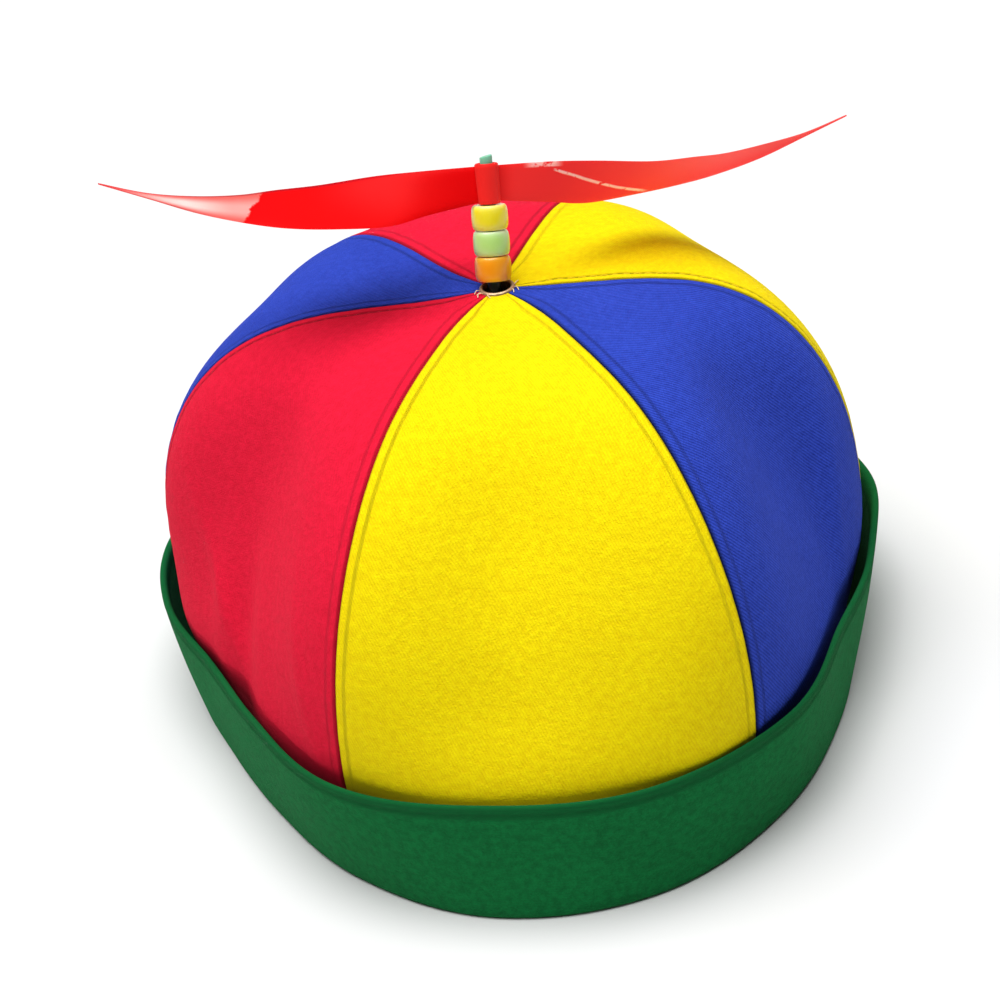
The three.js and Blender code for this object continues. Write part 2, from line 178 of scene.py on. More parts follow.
seams = [
    dict(panel="yellow_back", at=-9, shoulder=0.865, belly=-0.022, swing=-3, flat=0.8),
    dict(panel="red_back", at=68.7, shoulder=0.935, belly=-0.01, swing=1, flat=-0.2),
    dict(panel="blue_left", at=121, shoulder=1, belly=-0.05, swing=10, flat=0.42),
    dict(panel="red_left", at=176, shoulder=0.97, belly=-0.062, swing=10, flat=1),
    dict(panel="yellow_front", at=240, shoulder=0.893, belly=-0.034, swing=-10, flat=1),
    dict(panel="blue_right", at=295, shoulder=0.979, belly=-0.021, swing=10, flat=1),
]


def between(before, here, after, beyond, t):
    """A smooth way from one value to the next, led by the values on either side of the two."""
    leave, arrive = (after - before) / 2, (beyond - here) / 2
    cubic = 2 * here - 2 * after + leave + arrive
    square = -3 * here + 3 * after - 2 * leave - arrive
    return ((cubic * t + square) * t + leave) * t + here


def closed_curve(rows, column):
    """A smooth closed curve through one column of evenly spaced rows."""
    values = np.array([row[column] for row in rows], float)
    count = len(values)

    def curve(at):
        position = np.mod(at, 360) / 360 * count
        index = np.floor(position).astype(int)
        four = [values[(index + k) % count] for k in (-1, 0, 1, 2)]
        return between(*four, position - index)

    return curve


long_at = closed_curve(outline, "long")
flare_at = closed_curve(outline, "flare")


def mix(a, b, part):
    return a + (b - a) * part


def degrees_from(at, middle):
    """How far round a direction lies from another, from -180 to 180 degrees."""
    return np.mod(at - middle + 180, 360) - 180


def fold_radius(at):
    return mix(FOLD_HALF_WIDTH, FOLD_HALF_LENGTH, long_at(at))


print("fold line from", fold_radius(0.0).round(1), "to", fold_radius(270.0).round(1), "mm")

# %% [markdown]
# ## The skin of the crown
# The crown is a puffed-up dome whose wall stands nearly straight and then rolls over to a flat top.
# A sphere would be too round, and a cloth simulation of six blown-up panels would not keep the
# drafted seams. A superellipse gives the straight wall and the flat top. Each panel then lies a
# little flatter between its seams, as sewn cloth does.


# %% Crown surface
def seams_beside(at):
    """The seam before each direction, the one after it, and how far between them it lies."""
    starts = np.array([seam["at"] for seam in seams], float)
    turned = np.mod(starts - starts[0], 360)
    here = np.mod(at - starts[0], 360)
    before = np.searchsorted(turned, here, side="right") - 1
    after = (before + 1) % len(seams)
    span = np.mod(starts[after] - starts[before], 360)
    return before, after, (here - turned[before]) / span


def blended(at, column):
    """One column of the seams table, eased from each seam to the next."""
    values = np.array([seam[column] for seam in seams], float)
    before, after, part = seams_beside(at)
    return mix(values[before], values[after], (1 - np.cos(np.pi * part)) / 2)


def outward(at, radius, height):
    """Points in a direction, which counts in degrees from the wearer's left, seen from above."""
    direction = np.radians(at)
    return np.stack(
        np.broadcast_arrays(radius * np.cos(direction), radius * np.sin(direction), height), -1
    )


def angle_at_height(height):
    return np.arcsin(np.clip(height / CROWN_HEIGHT, 0, 1) ** (PROFILE_UP / 2))


def crown_point(at, angle):
    """A point of the crown's outer face, from angle 0 at its foot to a quarter turn on top."""
    rise = np.sin(angle) ** (2 / PROFILE_UP)
    reach = np.cos(angle) ** (2 / PROFILE_IN)
    plan = mix(fold_radius(at), mean_radius * blended(at, "shoulder"), rise**2)
    bulge = 1 + SWELL * np.sin(np.pi * rise) + blended(at, "belly") * np.sin(np.pi * rise**0.5)
    before, _, part = seams_beside(at)
    flat_share = np.array([seam["flat"] for seam in seams])[before]
    middle = flat_share * (1 - np.cos(2 * np.pi * part)) / 2
    flat = 1 - FLATTENING * np.maximum(np.sin(2 * angle), 0) ** FLAT_POWER * middle
    swing = blended(at, "swing") * np.exp(-((plan * reach / SWING_REACH) ** 2))
    point = outward(at + swing, plan * reach * bulge * flat, CROWN_HEIGHT * rise)
    return point + np.stack([APEX_SIDE * rise, -APEX_FRONT * rise, 0 * rise], -1)


print("crown front at 50 mm up:", crown_point(270.0, angle_at_height(50)).round(1))


# %% Behind the cuff
def tucked_point(at, height):
    """The wall behind the cuff, which bends in to its seat in the fold."""
    top = crown_point(at, angle_at_height(CUFF_HEIGHT + 0 * height))
    slope = top - crown_point(at, angle_at_height(CUFF_HEIGHT - 1 + 0 * height))
    knee = top - slope * CUFF_HEIGHT / 2
    seat_radius = fold_radius(at) + FOLD_REACH - CUFF_WALL - FIT
    inside = np.minimum(seat_radius / np.hypot(knee[..., 0], knee[..., 1]), 1)
    knee = knee * np.stack([inside, inside, 1 + 0 * inside], -1)
    seat = outward(at, seat_radius, 0 * height)
    t = (height / CUFF_HEIGHT)[..., None]
    return (1 - t) ** 2 * seat + 2 * t * (1 - t) * knee + t**2 * top


shoulder_reach = np.cos(angle_at_height(SHOULDER_HEIGHT)) ** (2 / PROFILE_IN)


def skin_point(at, level):
    """level runs 0 to 1 behind the cuff, 1 to 2 up the wall and 2 to 3 over the top."""
    at, level = np.broadcast_arrays(np.asarray(at, float), np.asarray(level, float))
    wall_height = mix(CUFF_HEIGHT, SHOULDER_HEIGHT, np.clip(level - 1, 0, 1))
    top_reach = shoulder_reach * np.clip(3 - level, 0, 1)
    over_top = np.arccos(top_reach ** (PROFILE_IN / 2))
    angle = np.where(level < 2, angle_at_height(wall_height), over_top)
    tucked = tucked_point(at, np.clip(level, 0, 1) * CUFF_HEIGHT)
    return np.where((level < 1)[..., None], tucked, crown_point(at, angle))


print("crown top at", skin_point(0.0, 3.0).round(1))

# %% [markdown]
# ## Dents and folds
# The cloth has soft dents on the front panel and upright folds above the cuff, where it is pushed
# in by the turned-up band. They could be sculpted by hand or simulated. Each is a soft bump placed
# by direction and height, so it stays where the cap has it.

# %% Dents and folds
folds = [
    dict(at=262, height=0.46, wide=12, tall=0.12, lean=0, depth=-1.2),
    dict(at=275, height=0.66, wide=9, tall=0.16, lean=10, depth=0.7),
    dict(at=202, height=0.42, wide=4, tall=0.2, lean=-14, depth=1),
    dict(at=218, height=0.4, wide=5, tall=0.2, lean=-16, depth=0.9),
    dict(at=210, height=0.42, wide=4, tall=0.2, lean=-14, depth=-1),
    dict(at=340, height=0.55, wide=5, tall=0.2, lean=12, depth=0.9),
    dict(at=330, height=0.5, wide=5, tall=0.2, lean=10, depth=-0.9),
    dict(at=40, height=0.5, wide=9, tall=0.2, lean=8, depth=-1),
    dict(at=95, height=0.45, wide=8, tall=0.2, lean=0, depth=-1.1),
    dict(at=198, height=0.33, wide=15, tall=0.16, lean=0, depth=2.1),
    dict(at=345, height=0.3, wide=14, tall=0.14, lean=0, depth=1),
    dict(at=188, height=0.29, wide=11, tall=0.1, lean=0, depth=1.6),
    dict(at=221, height=0.25, wide=15, tall=0.09, lean=0, depth=1.5),
    dict(at=325, height=0.25, wide=15, tall=0.09, lean=0, depth=1.3),
    dict(at=200.5, height=0.48, wide=2.8, tall=0.17, lean=-63, depth=0.8),
    dict(at=233, height=0.45, wide=2.2, tall=0.19, lean=-19, depth=0.6),
    dict(at=336, height=0.5, wide=2.4, tall=0.2, lean=22, depth=0.7),
]


def relief(at, height):
    share = height / CROWN_HEIGHT
    total = 0 * share
    for fold in folds:
        climb = share - fold["height"]
        centre = fold["at"] + fold["lean"] * climb
        across = degrees_from(at, centre) / fold["wide"]
        hump = np.exp(-(across**2) - (climb / fold["tall"]) ** 2)
        total = total + CROWN_WALL * fold["depth"] * hump
    return total


def cloth_point(at, level, depth):
    """A point of the cloth, sunk below its outer face by depth, and the direction out of it."""
    at, level = np.broadcast_arrays(np.asarray(at, float), np.asarray(level, float))
    point = skin_point(at, level)
    around = skin_point(at + 0.5, level) - skin_point(at - 0.5, level)
    climbing = skin_point(at, level + 0.002) - skin_point(at, level - 0.002)
    normal = unit(np.cross(around, climbing))
    return point + normal * (relief(at, point[..., 2]) - depth)[..., None], normal


print("deepest dent", round(float(relief(262.0, 0.46 * CROWN_HEIGHT)), 2), "mm")

# %% [markdown]
# ## From points to a piece
# Every piece is a mesh built from rows of points. Joining them into faces, turning millimetres into
# metres and handing the piece to the frame is the same work each time, so three small helpers do
# it. A piece replaces its plain solid, which is hidden, rides on the same body and is given its
# finish.


# %% Mesh helpers
def grid_faces(rows, columns, first=0, flip=False, ring=False):
    """Quads over a grid of points, row after row. ring joins the last column to the first."""
    across = columns if ring else columns - 1
    i, j = np.meshgrid(np.arange(rows - 1), np.arange(across), indexing="ij")
    beside = (j + 1) % columns
    here, above = i * columns, (i + 1) * columns
    corners = [here + j, here + beside, above + beside, above + j]
    faces = np.stack([corner.ravel() for corner in corners], -1) + first
    return faces[:, ::-1] if flip else faces


def shell(front, back):
    """The points and faces of a closed sheet between two grids."""
    rows, columns = front.shape[:2]
    count = rows * columns
    index = np.arange(count).reshape(rows, columns)
    edge = np.concatenate([index[0, :-1], index[:-1, -1], index[-1, :0:-1], index[:0:-1, 0]])
    following = np.roll(edge, -1)
    rim = np.stack([edge, edge + count, following + count, following], -1)
    faces = [grid_faces(rows, columns), grid_faces(rows, columns, count, flip=True), rim]
    return np.concatenate([front.reshape(-1, 3), back.reshape(-1, 3)]), np.concatenate(faces)


def make_mesh(name, points, faces, smooth_below=40, attributes=None):
    """A mesh in metres from points in millimetres, rounded in the light below an angle."""
    data = bpy.data.meshes.new(name)
    data.from_pydata((points * MILLIMETRE).tolist(), [], [[int(k) for k in face] for face in faces])
    data.shade_smooth()
    data.set_sharp_from_angle(angle=math.radians(smooth_below))
    for label, values in (attributes or {}).items():
        layer = data.attributes.new(label, "FLOAT_VECTOR", "POINT")
        layer.data.foreach_set("vector", np.ascontiguousarray(values, dtype=np.float32).ravel())
    made = bpy.data.objects.new(name, data)
    scene.collection.objects.link(made)
    return made


def dress(piece, material, slot, *nodes, body="cap"):
    """Gives a piece its finish and its place on a body, and hides the solids that it stands for."""
    piece.data.materials.append(material)
    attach(piece, body)
    if nodes:
        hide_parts(*nodes)
    print(piece.name, len(piece.data.polygons), "faces, rides on", body)


print("a sheet of 3 by 4 points has", len(shell(*np.zeros((2, 3, 4, 3)))[1]), "faces")

# %% [markdown]
# ## Shader maths as plain expressions
# A material is a tree of nodes, and wiring each sum by hand hides what is worked out. A Signal
# wraps one output, so that `1 - mask` or `ribs * 0.3 + fuzz` adds the Math nodes itself. Every
# other node comes from one method: its type, its settings, and what its sockets are fed.


# %% Signals
class Signal:
    """One output socket. Arithmetic on it adds the nodes that work it out."""

    def __init__(self, shader, socket):
        self.shader = shader
        self.socket = socket

    def math(self, operation, *values):
        return self.shader.node("ShaderNodeMath", {"operation": operation}, dict(enumerate(values)))

    def __add__(self, other):
        return self.math("ADD", self, other)

    def __mul__(self, other):
        return self.math("MULTIPLY", self, other)

    def __sub__(self, other):
        return self.math("SUBTRACT", self, other)

    def __rsub__(self, other):
        return self.math("SUBTRACT", other, self)

    def __pow__(self, other):
        return self.math("POWER", self, other)

    __radd__ = __add__
    __rmul__ = __mul__

    def cosine(self):
        return self.math("COSINE", self)

    def absolute(self):
        return self.math("ABSOLUTE", self)

    def clamped(self, low=0.0, high=1.0):
        return self.math("MINIMUM", self.math("MAXIMUM", self, low), high)

    def stepped(self, low, high, below=0.0, above=1.0):
        """Goes smoothly from below to above while the signal goes from low to high."""
        settings = {"interpolation_type": "SMOOTHSTEP"}
        sockets = {0: self, 1: low, 2: high, 3: below, 4: above}
        return self.shader.node("ShaderNodeMapRange", settings, sockets)


print("a signal can be", ", ".join(name for name in vars(Signal) if name[0] != "_"))


# %% Shaders
class Shader:
    """The node tree of one material, with its surface shader already in place."""

    def __init__(self, name):
        self.material = bpy.data.materials.new(name)
        self.material.use_nodes = True
        self.tree = self.material.node_tree
        self.tree.nodes.clear()
        self.surface = self.tree.nodes.new("ShaderNodeBsdfPrincipled")
        output = self.tree.nodes.new("ShaderNodeOutputMaterial")
        self.tree.links.new(self.surface.outputs["BSDF"], output.inputs["Surface"])

    def feed(self, socket, value):
        if isinstance(value, Signal):
            self.tree.links.new(value.socket, socket)
        else:
            socket.default_value = value

    def node(self, kind, settings=None, sockets=None, output=0):
        made = self.tree.nodes.new(kind)
        for name, value in (settings or {}).items():
            setattr(made, name, value)
        for name, value in (sockets or {}).items():
            self.feed(made.inputs[name], value)
        return Signal(self, made.outputs[output])

    def spot(self):
        """The place on the piece, in metres."""
        return self.node("ShaderNodeTexCoord", output="Object")

    def carried(self, name):
        """What the mesh carries at each point under a name: three numbers."""
        return self.node("ShaderNodeAttribute", {"attribute_name": name}, output="Vector")

    def split(self, vector):
        """The three numbers of a vector, one by one."""
        parted = self.node("ShaderNodeSeparateXYZ", None, {0: vector})
        return [Signal(self, socket) for socket in parted.socket.node.outputs]

    def blend_colours(self, a, b, part):
        return self.node("ShaderNodeMix", {"data_type": "RGBA"}, {0: part, 6: a, 7: b}, output=2)

    def noise(self, vector, scale, detail=2.0, roughness=0.5):
        sockets = {"Vector": vector, "Scale": scale, "Detail": detail, "Roughness": roughness}
        return self.node("ShaderNodeTexNoise", None, sockets)

    def bump(self, height, distance, strength):
        sockets = {"Height": height, "Distance": distance, "Strength": strength}
        return self.node("ShaderNodeBump", None, sockets)

    def set(self, **sockets):
        for name, value in sockets.items():
            self.feed(self.surface.inputs[name.replace("_", " ")], value)


def linear(red, green, blue):
    """A colour as painters' programs give it, 0 to 255, as the light that the shader works in."""
    channels = (red / 255, green / 255, blue / 255)
    light = [c / 12.92 if c <= 0.04045 else ((c + 0.055) / 1.055) ** 2.4 for c in channels]
    return (*light, 1.0)


print("a middle grey of 128 is", round(linear(128, 128, 128)[0], 3), "as light")

# %% [markdown]
# ## Cotton twill
# Twill is woven so that its threads rise in slanting ribs, a little under a millimetre apart on
# this cap. A wave texture in space would slide over the curved panels. So each panel carries its
# own flat coordinates, measured along the cloth as the cutter would, and the ribs are worked out
# in those: slanting ridges, cut across by the finer threads of the weft.

# %% Twill finish
RIB_PITCH = 0.00068
WEFT_PITCH = 0.0005


def twill(name, lit, shade, slant, ribbed):
    """slant turns the ribs from upright, in degrees. ribbed is how strongly they show."""
    shader = Shader(name)
    flat = shader.carried("cloth")
    x, y, painted_shade = shader.split(flat)
    wander = (shader.noise(flat, 90.0, 2.0) - 0.5) * 0.0008
    angle = math.radians(slant)
    across = x * math.cos(angle) + y * math.sin(angle) + wander
    along = y * math.cos(angle) - x * math.sin(angle)
    furrow = ((across * (2 * math.pi / RIB_PITCH)).cosine() * 0.5 + 0.5) ** 2
    weft = (along * (2 * math.pi / WEFT_PITCH)).cosine() * 0.5 + 0.5
    fuzz = shader.noise(flat, 1900.0, 3.0, 0.75).stepped(0.3, 0.7)
    nap = shader.noise(flat, 520.0, 3.0, 0.65).stepped(0.3, 0.7)
    mottle = shader.noise(flat, 60.0, 4.0, 0.6).stepped(0.3, 0.7)
    # Painted shade: the colour darkens in the furrows between the ribs. Fuzz, nap and mottle vary
    # the tone at random, and light blends from the shade tone to the lit tone.
    light = fuzz * 0.24 + nap * (0.36 - ribbed * 0.2) + mottle * 0.1 - furrow * (0.55 * ribbed)
    colour = shader.blend_colours(shade, lit, (light + 0.3 + 0.3 * ribbed).clamped())
    # Painted shade: the cloth's third number blends the colour towards deep, a near-black shade
    # tone.
    deep = tuple(channel * 0.06 for channel in shade[:3]) + (1.0,)
    colour = shader.blend_colours(colour, deep, painted_shade.clamped(0.0, 0.95))
    height = (1 - furrow) * (0.6 * ribbed) + weft * (0.15 * ribbed) + fuzz * 0.5 + nap * 0.5
    shader.set(
        Base_Color=colour,
        Roughness=0.95 - furrow * 0.1,
        Specular_IOR_Level=0.08,
        Sheen_Weight=0.3,
        Sheen_Roughness=0.4,
        Sheen_Tint=tuple(channel * 0.95 + 0.05 for channel in lit[:3]) + (1.0,),
        Normal=shader.bump(height, 0.0002, 0.8),
    )
    return shader.material


cloths = {
    "yellow": twill("twill_yellow", linear(252, 234, 6), linear(220, 178, 0), 24, 0.4),
    "red": twill("twill_red", linear(236, 28, 62), linear(198, 16, 40), 38, 0.3),
    "blue": twill("twill_blue", linear(54, 80, 200), linear(16, 30, 118), 35, 0.9),
    "green": twill("twill_green", linear(18, 122, 62), linear(4, 62, 28), 85, 0.12),
}
print("twill dyed", ", ".join(cloths))

# %% [markdown]
# ## The six panels
# On the real cap each panel is a shield of cloth. Its edges turn in at the seams and are sewn down
# by a row of stitches a few millimetres inside. A cloth modifier on a flat panel could give this,
# but at the cost of the drafted form. Here a fine grid follows the skin. Near each seam it drops
# into the groove, stands a little proud where the turned-in edge doubles the cloth, and dips again
# under the stitches, with small puckers along the way.

# %% How each seam is sewn
# sewn is how clearly the stitches show, in relief and as painted shade along them; line is how
# much shade is painted into the seam's own groove.
sewing = [
    dict(sewn=1, line=1),
    dict(sewn=0.1, line=0.35),
    dict(sewn=0.2, line=0.5),
    dict(sewn=0.7, line=0.8),
    dict(sewn=0.08, line=0.15),
    dict(sewn=0.08, line=0.9),
]
for seam, work in zip(seams, sewing):
    seam.update(work)
    print("seam before", seam["panel"], work)

# %% Panel shape beside a seam
STITCH_LINE = 2.7
STITCH_PITCH = 2.6
STITCH_DENT = 0.22
GROOVE_DEPTH = 0.55
GROOVE_WIDTH = 0.3
DOUBLED_EDGE = 0.1
PUCKER_HEIGHT = 0.1
PUCKER_LENGTH = 1.15
NARROW_RADIUS = 14
PANEL_ROWS = 150
PANEL_COLUMNS = 120
FLAT_SCALE = [MILLIMETRE, MILLIMETRE, 1]

axis_step = np.array([APEX_SIDE, -APEX_FRONT, 0]) / CROWN_HEIGHT


def narrowing(point):
    """How much closer to its seam a stitch line runs, as the panels narrow to the eyelet."""
    reach = np.linalg.norm((point - point[..., 2:] * axis_step)[..., :2], axis=-1)
    return np.clip(reach / NARROW_RADIUS, 0.3, 1)


def seam_profile(distance, sewn):
    """How far the cloth stands out, in millimetres, at a distance from the seam."""
    groove = -GROOVE_DEPTH * np.exp(-((distance / GROOVE_WIDTH) ** 2))
    doubled = DOUBLED_EDGE / (1 + np.exp((distance - STITCH_LINE) / 0.6))
    stitched = STITCH_DENT * sewn * np.exp(-(((distance - STITCH_LINE) / 0.4) ** 2))
    return groove + doubled - stitched


def puckers(distance, along, seed):
    """Small gathers that the stitches pull into the cloth, fading away from the seam."""
    wave = np.sin(along / PUCKER_LENGTH + seed) + np.sin(along / (2 * PUCKER_LENGTH) + 2.1 * seed)
    return PUCKER_HEIGHT / 2 * wave * np.exp(-(((distance - STITCH_LINE) / 2.4) ** 2))


def arc_lengths(points, axis):
    steps = np.linalg.norm(np.diff(points, axis=axis), axis=-1)
    start = np.zeros_like(np.take(steps, [0], axis=axis))
    return np.concatenate([start, np.cumsum(steps, axis=axis)], axis=axis)


def panel_grid(seam, following, depth):
    """Points of one face of a panel, and the direction out of each."""
    span = (following["at"] - seam["at"]) % 360
    t = np.linspace(0, 1, PANEL_COLUMNS)
    crowded = 0.75
    part = mix(t, t - np.sin(2 * np.pi * t) / (2 * np.pi), crowded)
    hole = (EYELET_BORE / 2 + EYELET_BARREL_WALL + FIT) / mean_radius
    hole = hole / blended(seam["at"] + span * part, "shoulder")
    lowest = (CUFF_WALL + FIT) / CUFF_HEIGHT
    rise = np.linspace(0, 1, PANEL_ROWS)[:, None]
    level = mix(lowest, 3 - hole / shoulder_reach, rise)
    inset = 0.0004
    return cloth_point(seam["at"] + span * mix(inset, 1 - inset, part)[None, :], level, depth)


print("the stitches run", STITCH_LINE, "mm inside each seam")

# %% Panels
for number, seam in enumerate(seams):
    following = seams[(number + 1) % len(seams)]
    base, normal = panel_grid(seam, following, 0)
    inner, _ = panel_grid(seam, following, CROWN_WALL)
    around = arc_lengths(base, 1)
    width = around[:, -1:]
    along = arc_lengths(base[:, PANEL_COLUMNS // 2 : PANEL_COLUMNS // 2 + 1], 0) + 0 * around
    own_side = around < width / 2
    narrow = narrowing(base)
    nearest = np.minimum(around, width - around) / narrow
    sewn = np.where(own_side, seam["sewn"], following["sewn"] * 0.2)
    raised = seam_profile(nearest, sewn) + puckers(nearest, along, number + 0.5 * own_side)
    front = base + normal * (raised * narrow)[..., None]
    dash = 0.75 + 0.25 * np.sin(2 * np.pi * along / STITCH_PITCH)
    # Painted shade: a dashed dark line along the stitches, a dark line in each seam's groove, and
    # shade painted on the wall behind and just above the cuff's rim, more at the sides.
    painted_shade = sewn * dash * np.exp(-(((nearest - STITCH_LINE) / 0.2) ** 2))
    line = np.where(own_side, seam["line"], following["line"])
    painted_shade = painted_shade + line * 1.2 * np.exp(-((nearest / 0.26) ** 2))
    sideways = base[..., 0] ** 2 / (base[..., 0] ** 2 + base[..., 1] ** 2)
    low = np.clip((CUFF_HEIGHT - 0.5 + 3 * sideways - base[..., 2]) / 6, 0, 1)
    painted_shade = painted_shade + (0.4 + 0.5 * sideways) * low * low * (3 - 2 * low)
    cloth = np.stack([around - width / 2, along, painted_shade], -1).reshape(-1, 3) * FLAT_SCALE
    points, faces = shell(front, inner)
    attributes = {"cloth": np.concatenate([cloth, cloth * [1, 1, 0]])}
    piece = make_mesh("cloth_" + seam["panel"], points + cap_shift, faces, 50, attributes)
    dye = seam["panel"].split("_")[0]
    dress(piece, cloths[dye], dye + "_twill", "panel_" + seam["panel"])

# %% [markdown]
# ## Topstitching
# Beside each seam a row of stitches holds the turned-in edge down. They could be painted as dashes,
# but real thread catches the light. So the line is walked along the cloth, and every stitch is a
# small thread that rises out of the cloth and dives back in.

# %% Stitch lines and threads
THREAD_RADIUS = 0.13
THREAD_SINK = 0.16
THREAD_RISE = 0.22


def seam_line(seam, side):
    """Points of the cloth along the stitch line on one side of a seam, and the way out of it."""
    level = np.linspace(0.9, 2.9, 600)
    edge = skin_point(seam["at"], level)
    reach = np.linalg.norm((edge - edge[:, 2:] * axis_step)[:, :2], axis=-1)
    distance = STITCH_LINE * narrowing(edge)
    point, normal = cloth_point(seam["at"] + side * np.degrees(distance / reach), level, 0.12)
    return point, normal


def threads(centres, normals, radius):
    """Six-sided threads along many short centre lines at once."""
    ahead = unit(np.gradient(centres, axis=1))
    aside = unit(np.cross(ahead, normals))
    above = np.cross(aside, ahead)
    turn = np.arange(6) * np.pi / 3
    ring = np.cos(turn)[:, None] * aside[:, :, None] + np.sin(turn)[:, None] * above[:, :, None]
    points = centres[:, :, None] + ring * radius[..., None, None]
    count, samples = centres.shape[:2]
    one = grid_faces(samples, 6, ring=True)
    end = np.array([[0, 1, 2, 3], [0, 3, 4, 5]])
    one = np.concatenate([one, end[:, ::-1], end + (samples - 1) * 6])
    faces = one[None] + (np.arange(count) * samples * 6)[:, None, None]
    return points.reshape(-1, 3), faces.reshape(-1, 4)


def stitched_row(point, normal, shown):
    """Stitches along a line. shown is how far they rise out of the cloth, from 0 to 1."""
    walked = arc_lengths(point, 0)
    count = int(walked[-1] / STITCH_PITCH)
    u = np.linspace(0, 1, 9)
    places = (np.arange(count)[:, None] + 0.1 + 0.8 * u) * STITCH_PITCH
    centres = np.stack([np.interp(places, walked, point[:, k]) for k in range(3)], -1)
    normals = unit(np.stack([np.interp(places, walked, normal[:, k]) for k in range(3)], -1))
    hump = np.sin(np.pi * u)
    centres = centres + normals * (THREAD_RISE * shown * hump - THREAD_SINK)[None, :, None]
    radius = THREAD_RADIUS * (0.25 + 0.75 * hump**0.5) + 0 * places
    return threads(centres, normals, radius)


def gathered(parts):
    """Joins several lots of points and faces into one."""
    starts = np.cumsum([0] + [len(points) for points, _ in parts[:-1]])
    faces = [faces + start for (_, faces), start in zip(parts, starts)]
    return np.concatenate([points for points, _ in parts]), np.concatenate(faces)


print("a stitch is", STITCH_PITCH, "mm long, of thread", 2 * THREAD_RADIUS, "mm thick")


# %% Stitches
def thread_finish(name, bright, dark):
    """Spun cotton: fine darker turns along each thread."""
    shader = Shader(name)
    spun = shader.noise(shader.spot(), 3200.0, 2.0, 0.6)
    colour = shader.blend_colours(dark, bright, spun.stepped(0.3, 0.7))
    shader.set(Base_Color=colour, Roughness=0.8, Normal=shader.bump(spun, 0.0001, 0.6))
    return shader.material


thread_dyes = {
    "yellow": thread_finish("thread_yellow", linear(252, 226, 16), linear(222, 182, 6)),
    "red": thread_finish("thread_red", linear(232, 34, 62), linear(160, 12, 30)),
    "blue": thread_finish("thread_blue", linear(48, 70, 184), linear(22, 34, 110)),
}
for number, seam in enumerate(seams):
    dye, dye_before = (seams[k]["panel"].split("_")[0] for k in (number, number - 1))
    for side, colour in ((1, dye), (-1, dye_before)):
        points, faces = stitched_row(*seam_line(seam, side), seam["sewn"] if side > 0 else 0.1)
        name = f"stitches_{number + 1}_" + ("after" if side > 0 else "before")
        piece = make_mesh(name, points + cap_shift, faces)
        dress(piece, thread_dyes[colour], colour + "_twill")

# %% [markdown]
# ## The cuff
# The green band is a long strip, folded at its lower edge and turned up outside the crown, with its
# hem tucked inside. It could be a lathe or a swept curve, but it leans out by a different amount
# all the way round. So one cross-section is drawn in every direction: up the outer face, over the
# soft top edge, down behind, and up again as the hem.

# %% Cuff section
CUFF_SECTIONS = 360
FOLD_ROUND = 1.2
RIM_STITCHING = CUFF_HEIGHT - 2.2
RIGHT_CORNER = 4
SAG_AT = 268
BACK_SEAM = 68


def near(at, middle, width):
    """One at a direction, falling away softly to both sides."""
    return np.exp(-((degrees_from(at, middle) / width) ** 2))


def cuff_face(at, height, depth):
    """A point of the cuff's outer face at a height, or of its wall at a depth below that face."""
    wave = 0.2 * np.sin(np.radians(at * 7 + 40)) + 0.15 * np.sin(np.radians(at * 13 + 100))
    wave = wave + 0.5 * near(at, BACK_SEAM, 14)
    share = height / CUFF_HEIGHT
    flare = CUFF_FLARE * flare_at(at) * share
    rolled = 0.12 * np.exp(-(((RIM_STITCHING - height) / 0.5) ** 2))
    sagging = 1.2 * near(at, SAG_AT, 24) * np.exp(-((height / 9) ** 2))
    drawn = 1.9 * share**4 - 1.2 * np.sin(np.pi * share) * share
    flare = flare + drawn * near(at, RIGHT_CORNER, 12)
    soft = 0.5 * np.sin(np.pi * share) + wave * share**2 - np.where(depth == 0, rolled, 0)
    return outward(at, fold_radius(at) + FOLD_REACH + flare + soft + sagging - depth, height)


print("the cuff's rim at the front lies at", cuff_face(270.0, CUFF_HEIGHT, 0).round(1))

# %% Cuff rows
directions = np.arange(CUFF_SECTIONS) * 360 / CUFF_SECTIONS
rim_start = CUFF_HEIGHT - CUFF_WALL * 0.6
heights = np.linspace(FOLD_ROUND, CUFF_HEIGHT - 4, 20)
heights = np.append(heights, np.linspace(CUFF_HEIGHT - 3.7, rim_start, 12))
bends = np.linspace(0, math.pi, 9)[1:-1]
rows = [cuff_face(directions, 0, FOLD_ROUND)]
rows += [cuff_face(directions, FOLD_ROUND * 0.3, FOLD_ROUND * 0.3)]
rows += [cuff_face(directions, height, 0) for height in heights]
for bend in bends:
    over = rim_start + CUFF_WALL * 0.6 * math.sin(bend)
    rows.append(cuff_face(directions, over, CUFF_WALL / 2 * (1 - math.cos(bend))))
rows += [cuff_face(directions, height, CUFF_WALL) for height in heights[::-1]]
rows += [cuff_face(directions, CUFF_WALL, CUFF_WALL)]


def hem_row(height, depth):
    return cloth_point(directions, height / CUFF_HEIGHT, depth)[0]


hem_depth = CROWN_WALL + FIT
rows += [hem_row(height, hem_depth) for height in np.linspace(CUFF_WALL, HEM_HEIGHT, 6)]
going_down = np.linspace(HEM_HEIGHT, FOLD_ROUND * 1.5, 7)
rows += [hem_row(height, hem_depth + HEM_WALL) for height in going_down]
hem_foot = fold_radius(directions) + FOLD_REACH - CUFF_WALL - 2 * FIT - CROWN_WALL - HEM_WALL
rows.append(outward(directions, hem_foot + FOLD_ROUND * 0.7, 0))
section = np.stack(rows)
print("the cuff's section has", len(section), "points")

